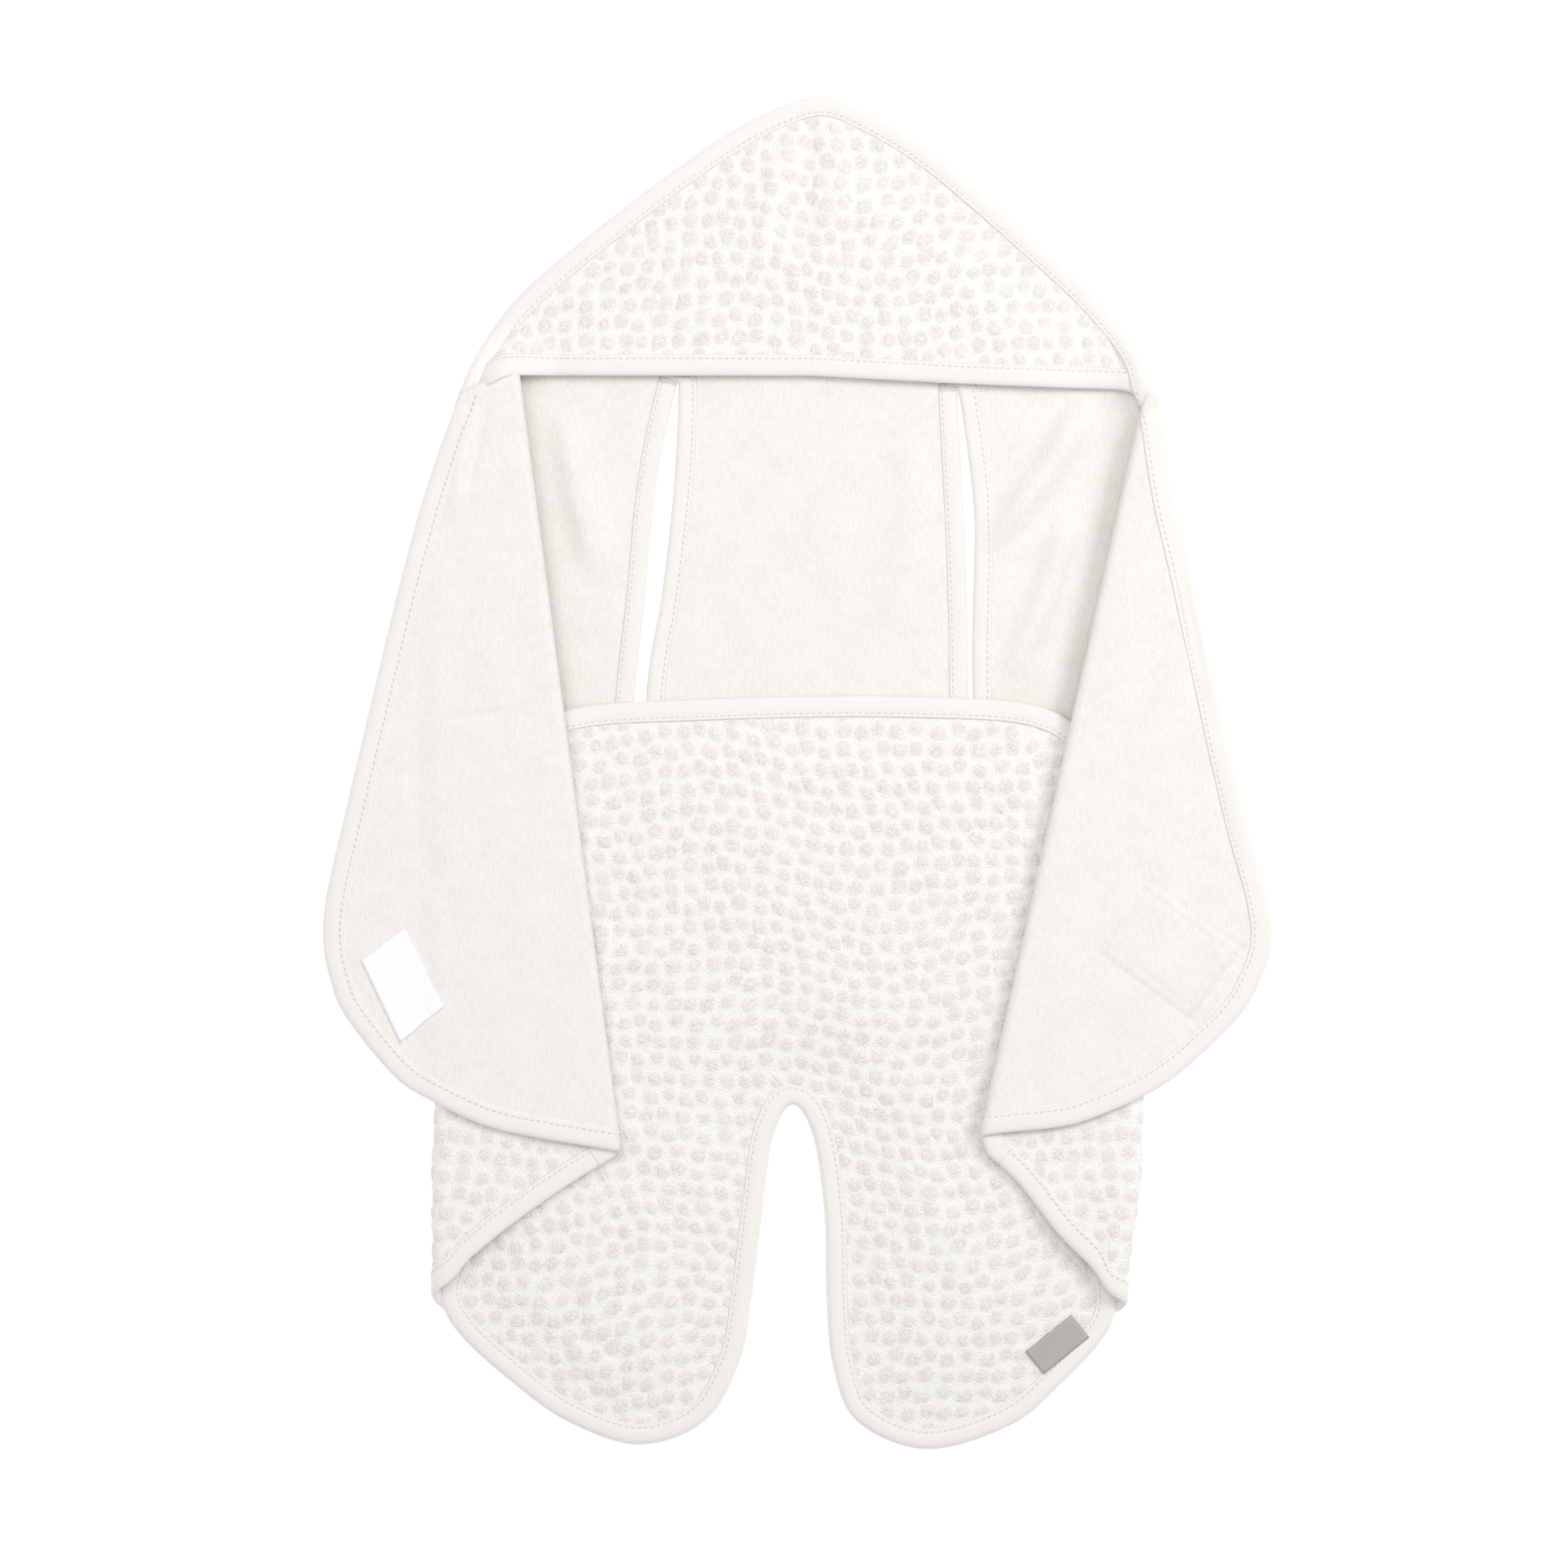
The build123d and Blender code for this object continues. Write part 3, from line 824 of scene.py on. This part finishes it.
def make_jersey(name, light, dark, streak=1.0, painted_ditch_shade=False):
    """Fine melange knit: faint streaks down the cloth and a tiny rib. A binding gets painted
    shade, darker in the seam's hollow along its inner edge."""
    cloth = Shader(name, 0.9, 0.2)
    streaks = cloth.noise(1.4, 3, stretch=(1, 4))
    specks = cloth.noise(0.8, 3)
    clouds = cloth.noise(18, 3)
    tone = streaks * 0.7 * streak + specks * 0.7 + clouds * 0.35
    shade = cloth.ease(0.6, 1.2, tone)
    if painted_ditch_shade:
        # painted shade: the colour darkens towards the binding's inner edge, where the seam's
        # hollow falls in shade
        girth = cloth.axes()[1]
        shade = shade + (1 - cloth.ease(0.3, 1.2, girth)) * 3
        cloth.colour(shade * 0.25, light, tuple(4 * d - 3 * s for d, s in zip(dark, light)))
    else:
        cloth.colour(shade, light, dark)
    rib = cloth.noise(0.7, 1, stretch=(1, 2.2))
    cloth.bump(rib * 0.6 + cloth.noise(7, 2) * 1.2, 0.35, 0.7)
    return cloth.material


def make_plain(name, base, roughness, sheen=0.0, grain=0.0, size=0.6):
    cloth = Shader(name, roughness, sheen)
    cloth.surface.inputs["Base Color"].default_value = (*base, 1)
    if grain:
        cloth.bump(cloth.noise(size, 2, stretch=(1, 1.6)), grain, 0.8)
    return cloth.material


terry_cloth = make_terry()
jersey_cloth = make_jersey("jersey", jersey_light, jersey_dark)
# the binding's last argument turns on its painted shade along the inner edge
binding_cloth = make_jersey("binding", (0.874, 0.846, 0.813), (0.81, 0.765, 0.715), 0.3,
                            True)
# the thread is darker than the cloth: painted shade for the holes and gaps round each stitch
thread = make_plain("thread", (0.74, 0.69, 0.63), 0.6)
satin = make_plain("label_satin", (0.44, 0.425, 0.415), 0.38, 0.0, 0.12, 0.35)
hook_tape = make_plain("hook_tape", (0.97, 0.97, 0.97), 0.55, 0.0, 0.5, 0.9)
loop_tape = make_plain("loop_tape", (0.92, 0.90, 0.87), 0.95, 0.4, 0.5, 0.7)
stitch_nodes = stitch_tree()


# ------------------------------------------------------------------ putting the towel together
def inset(line, inward_point, by=1.6):
    """An edge moved into the cloth, where the layers inside its binding end."""
    return line + side_of(line, inward_point) * by


def hem(name, points, inward_point, place, half, puff=0.6, faces=(1,),
        ends=((1, 1), (1, 1))):
    """A binding along an edge and the rows of stitches through it."""
    line = smooth(points, 3)
    into = side_of(line, inward_point)
    strip = swept(name, line, into, place, binding_profile(half, puff, puff), binding_cloth,
                  ends=ends)
    rows = [stitch_row(line, into, place, binding_width - stitch_inset,
                       face * (half + stitch_lift)) for face in faces]
    return strip, rows


def keep(body, pieces, nodes=()):
    """Pieces that ride on a body, or that a given function (such as across's) takes; the nodes
    given are hidden.
    """
    for piece in pieces:
        if callable(body):
            body(piece)
        else:
            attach(piece, body)
    if nodes:
        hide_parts(*nodes)


def across(first, second, start, end):
    """Bakes a piece's transform into its mesh; the piece isn't bent.
    The two bodies, start and end are not used.
    """
    def bend(piece):
        tuple(x * MM for x in start)
        tuple(x * MM for x in end)
        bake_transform(piece)
    return bend


def keep_panel(body, pieces, nodes, rests_on):
    """A panel's terry and jersey, with the shells and linings that they replace."""
    keep(body, pieces[:1], [node + "_shell" for node in nodes])
    keep(body, pieces[1:], [node + "_lining" for node in nodes])
    for piece in pieces:
        uv = np.empty(len(piece.data.loops) * 2, np.float32)
        piece.data.uv_layers[0].data.foreach_get("uv", uv)


def keep_hem(body, name, node, strip, rows):
    """A binding and its stitches, with the binding and seam thread that they replace."""
    keep(body, [strip], [node + "_binding"])
    keep(body, [stitches(name + "_stitches", rows)], [node + "_seam_thread"])


at_neck = across("back", "hood", (0, neck + 2, 2), (0, neck + 18, 2))


def build_back():
    """The one layer that lies on the ground, from the legs to the hood's point."""
    legs = inset(smooth(leg_edge, 5), in_legs)
    hood = inset(smooth(hood_edge, 5), in_hood)
    legs = legs[(legs[:, 1] < -284) | (np.abs(legs[:, 0]) < 150)]
    runs = np.linspace(0, 478, 40)
    right_side = right_side_fold.place(-right_side_fold.half_turn - 0.4 + 0 * runs, runs)[:, :2]
    left_side = left_side_fold.place(-left_side_fold.half_turn - 0.4 + 0 * runs,
                                     runs[::-1])[:, :2]
    outline = np.vstack([legs, right_side, hood[::-1], left_side])
    slits = [smooth(slit, 4, True)[:-1] for slit in (left_slit, right_slit)]
    widened = [slit + outward(slit) * 1.4 for slit in slits]
    cuts = [Cut(outline, pitch, widened) for pitch in (2.3, 3.4)]
    return cloth("back", cuts, flat_place(back_height), -1,
                 bound=(leg_line, hood_line, *slits))


def outward(loop):
    """The unit directions that point out of a closed outline."""
    run = np.roll(loop, -1, axis=0) - np.roll(loop, 1, axis=0)
    run /= np.maximum(np.linalg.norm(run, axis=1, keepdims=True), 1e-9)
    out = np.stack([run[:, 1], -run[:, 0]], 1)
    return -out if np.sum(out * (loop - loop.mean(0))) < 0 else out


def build_slit(name, slit, half):
    """The bound edge round one belt slit."""
    line = smooth(slit, 3, True)[:-1]
    out = outward(line)
    place = flat_place(back_height)
    profile = binding_profile(half, 0.35, 0.3, slit_binding_width)
    strip = swept(name + "_slit_band", line, out, place, profile, binding_cloth, True)
    round_slit, round_out = np.vstack([line, line[:1]]), np.vstack([out, out[:1]])
    row = stitch_row(round_slit, round_out, place, slit_binding_width - 2, half + stitch_lift)
    return strip, row


def on_fold(fold, points, layer):
    """Flat-cut coordinates of places on one layer of a fold."""
    return [tuple(float(k) for k in fold.flat(x, y, layer)) for x, y in points]


def build_wing(side, fold, edge, edge_below, pile_up):
    """A wing: its roll round the inner fold and the upper layer, out to the bound edge."""
    lip = -fold.half_turn - wing_lap
    bound = on_fold(fold, edge, 1) + on_fold(fold, edge_below, -1)
    line = smooth(bound, 4)
    middle = on_fold(fold, [edge[5]], 1)[0]
    inner = (0.5 * middle[0], middle[1])
    cut_edge = inset(line, inner)
    top = float(cut_edge[0, 1])
    kept = cut_edge[cut_edge[:, 0] > lip]
    outline = np.vstack([kept, [(lip, kept[-1, 1]), (lip, top + wing_tuck[side])]])
    cuts = [Cut(outline, pitch) for pitch in (1.9, 1.6)]
    pieces = cloth(side + "_wing", cuts, fold.place, pile_up, bound=(line,))
    strip, rows = hem(side + "_wing_band", bound, inner, fold.place, thin_hem, puff=0.45,
                      faces=(-pile_up,), ends=((0.8, 0.5), (1, 1)))
    return pieces, strip, rows


def build_side(side, fold, inner_fold, edge, pile_up):
    """The folded side: its roll round the outer fold and the middle layer."""
    top_v, low_v = 203, -205
    inner_line = []
    for v in np.linspace(top_v, low_v, 9):
        run = inner_fold.along
        along = (v - inner_fold.origin[1]) / run[1]
        x = inner_fold.origin[0] + run[0] * along
        inner_line.append((x + inner_fold.across[0] * (inner_fold.roll + wing_lap - 1.2), v))
    inner_flat = on_fold(fold, inner_line, 1)
    bound = on_fold(fold, edge, 1) + on_fold(fold, side_end[side], -1)
    line = smooth(bound, 4)
    inner = (0.5 * (line[0, 0] + fold.half_turn), line[0, 1] + 60)
    cut_edge = inset(line, inner)
    lip = -fold.half_turn
    top_run = inner_flat[0][1]
    cut_edge = cut_edge[(cut_edge[:, 0] > lip)
                        & (cut_edge[:, 0] < inner_flat[-1][0] + 4)]
    outline = np.vstack([cut_edge, [(lip, cut_edge[-1, 1])], [(lip, top_run)], inner_flat])
    cuts = [Cut(outline, pitch) for pitch in (2.0, 3.2)]
    pieces = cloth(side + "_side", cuts, fold.place, pile_up, bound=(line,))
    strip, rows = hem(side + "_side_band", bound, inner, fold.place, thin_hem, puff=0.45,
                      faces=(pile_up,))
    return pieces, strip, rows


# where each side's bound edge ends under its outer fold, and how far past its bound edge
# each wing's cloth runs up the inner fold
side_end = {"left": [(-190.6, -292), (-186, -299)], "right": [(172, -295), (167, -302)]}
wing_tuck = {"left": 13, "right": 1}

back_cloth = build_back()
keep_panel(at_neck, back_cloth, ["back", "hood_back"], "floor")
for side, slit in (("left", left_slit), ("right", right_slit)):
    band, row = build_slit(side, slit, half_cloth + 0.1)
    keep(at_neck, [band], [side + "_slit_binding"])
    sewn = stitches(side + "_slit_stitches", [row])
    keep(at_neck, [sewn], [side + "_slit_thread"])

# the leg fronts and the pouch
leg_outline = np.vstack([inset(smooth(leg_edge, 5), in_legs),
                         inset(smooth(pouch_edge, 5), in_legs)[::-1]])
front_place = flat_place(front_height)
front_cloth = cloth("pouch", [Cut(leg_outline, 1.6), Cut(leg_outline, 3)], front_place, 1,
                    bound=(leg_line, smooth(pouch_edge, 6)))
keep_panel("back", front_cloth, ["leg_front"], [back_cloth[1].name])


def edge_place(u, v):
    """The middle of the two panels sewn together round the hood and legs."""
    return np.stack([u, v, edge_mid + 1.15 * corner_rise(u, v)], -1)


keep_hem("back", "leg", "leg", *hem("leg_band", leg_edge, in_legs, edge_place, thick_hem,
                                    puff=0.9, faces=(1, -1)))
keep_hem("back", "pouch", "pouch", *hem("pouch_band", pouch_edge, in_legs, front_place,
                                        thin_hem))

# the hood: its bound slopes, and a front panel in two halves, split down its middle line
keep_hem("hood", "hood", "hood_edge", *hem("hood_band", hood_edge, in_hood, edge_place,
                                           thick_hem, puff=0.9, faces=(1, -1),
                                           ends=((0.85, 0.45), (0.85, 0.45))))

apex, bottom = np.array([13.0, 365.0]), np.array([8.0, 213.2])
hood_place = flat_place(hood_front_height)
slopes = smooth(hood_edge, 5)
free_edge = smooth(hood_front_edge, 5)


def hood_middle(v):
    """The line down the middle of the hood's front."""
    return bottom[0] + (v - bottom[1]) * (apex[0] - bottom[0]) / (apex[1] - bottom[1])


upper, lower = inset(slopes, in_hood), inset(free_edge, in_hood)
upper = upper[upper[:, 1] > 206]
hood_outline = np.vstack([upper, lower[::-1]])
hood_cuts = [Cut(hood_outline, pitch, middle=hood_middle) for pitch in (1.3, 2.6)]
for side, corner, sign in (("left", corner_left, -1), ("right", corner_right, 1)):
    slope = apex - np.array(corner)
    away = np.array([slope[1], -slope[0]])
    away /= np.dot(away, bottom - apex)
    reach = away / np.dot(away, away)
    opens = across("hood", "hood_front", (*apex, 0), (*(apex + reach), 0))
    parts = cloth("hood_front_" + side, [cut.half(sign) for cut in hood_cuts], hood_place, 1,
                  bound=(slopes, free_edge))
    keep_panel(opens, parts, ["hood_front"], [back_cloth[1].name])
    ends = [p for p in hood_front_edge if sign * (p[0] - 8) > 0]
    ends = ends + [(8.4, 213.2)] if sign < 0 else [(7.6, 213.2)] + ends
    narrow = [(1, 1), (0.3, 0.7)] if sign > 0 else [(0.3, 0.7), (1, 1)]
    band, rows = hem("hood_front_band_" + side, ends, in_hood, hood_place, thin_hem,
                     ends=narrow)
    keep(opens, [band], ["hood_front_binding"])
    keep(opens, [stitches("hood_front_stitches_" + side, rows)],
         ["hood_front_seam_thread"])

# the folded sides and wings
fold_facts = (
    ("left", left_side_fold, left_wing_fold, left_side_edge, left_wing_edge, 1),
    ("right", right_side_fold, right_wing_fold, right_side_edge, right_wing_edge, -1))
for side, outer, inner, low_edge, wing_edge, pile_up in fold_facts:
    x, y = outer.origin
    turn_side = across("back", side + "_side", (x, y, back_mid + 2), (x, y, side_mid - 2.6))
    parts, band, rows = build_side(side, outer, inner, low_edge, pile_up)
    keep_panel(turn_side, parts, [side + "_side"], [front_cloth[0].name])
    keep_hem(turn_side, side + "_side", side + "_side", band, rows)
    below, towards_fold = np.array(low_edge[0], float), np.subtract(low_edge[1], low_edge[0])
    below_edge = [tuple(below + towards_fold * k) for k in (0.0, 0.3)]
    x, y = inner.origin
    growth = np.array([*(inner.across * 0.03), 1 / 1.2])
    start = np.array([x, y, side_mid + 1.85])
    end = start + growth / np.dot(growth, growth)
    turn_wing = across(side + "_side", side + "_wing", start, end)
    parts, band, rows = build_wing(side, inner, wing_edge, below_edge, pile_up)
    keep_panel(turn_wing, parts, [side + "_wing"], [side + "_side_terry"])
    keep_hem(turn_wing, side + "_wing", side + "_wing", band, rows)


# ------------------------------------------------------------------ patches and the label
def patch(name, corners, place, lift, thickness, material, pitch=1.6):
    """A flat closed tape patch on a panel, its corners given in flat-cut coordinates."""
    a, b, c, d = (np.array(p, float) for p in corners)
    cols = max(2, round(np.linalg.norm(b - a) / pitch))
    rows = max(2, round(np.linalg.norm(d - a) / pitch))
    s, t = np.meshgrid(np.linspace(0, 1, cols + 1), np.linspace(0, 1, rows + 1),
                       indexing="ij")
    s, t = s[..., None], t[..., None]
    flat = a * (1 - s) * (1 - t) + b * s * (1 - t) + c * s * t + d * (1 - s) * t
    u, v = flat[..., 0].ravel(), flat[..., 1].ravel()
    base, normal = place(u, v), normals_of(place, u, v)
    number = np.arange(u.size).reshape(cols + 1, rows + 1)
    quads = np.stack([number[:-1, :-1], number[1:, :-1], number[1:, 1:], number[:-1, 1:]],
                     -1).reshape(-1, 4)
    ring = np.concatenate([number[:, 0], number[-1, 1:], number[-2::-1, -1],
                           number[0, -2:0:-1]])
    ahead = np.roll(ring, -1)
    walls = np.stack([ring, ahead, ahead + u.size, ring + u.size], 1)
    away = np.sign(lift)
    points = np.vstack([base + normal * (lift + away * thickness), base + normal * lift])
    faces = np.vstack([quads, quads[:, ::-1] + u.size, walls[:, ::-1]])
    uv = np.tile(flat.reshape(-1, 2), (2, 1))
    piece = mesh_piece(name, points, faces, uv, material)
    work = bmesh.new()
    work.from_mesh(piece.data)
    bmesh.ops.recalc_face_normals(work, faces=work.faces)
    work.to_mesh(piece.data)
    work.free()
    return piece


def rectangle(centre, width, height, turn):
    c, s = math.cos(math.radians(turn)), math.sin(math.radians(turn))
    return [(centre[0] + a * width / 2 * c - b * height / 2 * s,
             centre[1] + a * width / 2 * s + b * height / 2 * c)
            for a, b in ((-1, -1), (1, -1), (1, 1), (-1, 1))]


hook_corners = on_fold(left_wing_fold, [(-234.1, -100.9), (-213, -145.2), (-189.4, -125.9),
                                        (-210.4, -83)], 1)
hook = patch("hook_patch_tape", hook_corners, left_wing_fold.place, -1.45, 0.7, hook_tape)
keep("left_wing", [hook], ["hook_patch"])
loop_corners = on_fold(right_wing_fold, [(187.2, -57.6), (163.6, -97.4), (212.2, -133.3),
                                         (236.3, -93.9)], 1)
loop = patch("loop_patch_tape", loop_corners, right_wing_fold.place, -2.1, 0.7, loop_tape)
keep("right_wing", [loop], ["loop_patch"])
label = patch("side_label_satin", rectangle((139.9, -308.1), 31.5, 16, 38.8), front_place,
              2.1, 0.35, satin)
keep("back", [label], ["side_label"])

# ------------------------------------------------------------------ floor, light and camera
bpy.ops.mesh.primitive_plane_add(size=8, location=(0, 0, -0.0006))
floor = bpy.context.object
floor.name = "floor"
floor_paint = make_plain("floor_white", (0.97, 0.97, 0.97), 1.0)
floor_surface = floor_paint.node_tree.nodes["Principled BSDF"]
floor_surface.inputs["Emission Color"].default_value = (1, 1, 1, 1)
floor_surface.inputs["Emission Strength"].default_value = 0.35
floor.data.materials.append(floor_paint)


def lamp(name, place, towards, size, power):
    light = bpy.data.lights.new(name, "AREA")
    light.shape, light.size, light.energy = "SQUARE", size, power
    holder = bpy.data.objects.new(name, light)
    bpy.context.scene.collection.objects.link(holder)
    holder.location = place
    direction = np.array(towards, float) - np.array(place, float)
    holder.rotation_euler = Vector(direction).to_track_quat("-Z", "Y").to_euler()


lamp("window", (1.3, 0.7, 1.5), (0, 0, 0), 0.8, 14)
lamp("overhead", (-0.4, 0.5, 2.2), (0, 0.1, 0), 1.8, 20.5)
world = bpy.data.worlds.new("studio")
world.use_nodes = True
world.node_tree.nodes["Background"].inputs["Color"].default_value = (1, 1, 1, 1)
world.node_tree.nodes["Background"].inputs["Strength"].default_value = 0.55
bpy.context.scene.world = world
bpy.context.scene.view_settings.view_transform = "Standard"
bpy.context.scene.view_settings.look = "None"

camera_data = bpy.data.cameras.new("camera")
camera_data.lens = 127.6
camera_data.sensor_width = 36
camera_data.clip_end = 20
camera = bpy.data.objects.new("camera", camera_data)
camera.location = (-0.0072, -0.00635, 3.0)
bpy.context.scene.collection.objects.link(camera)
bpy.context.scene.camera = camera
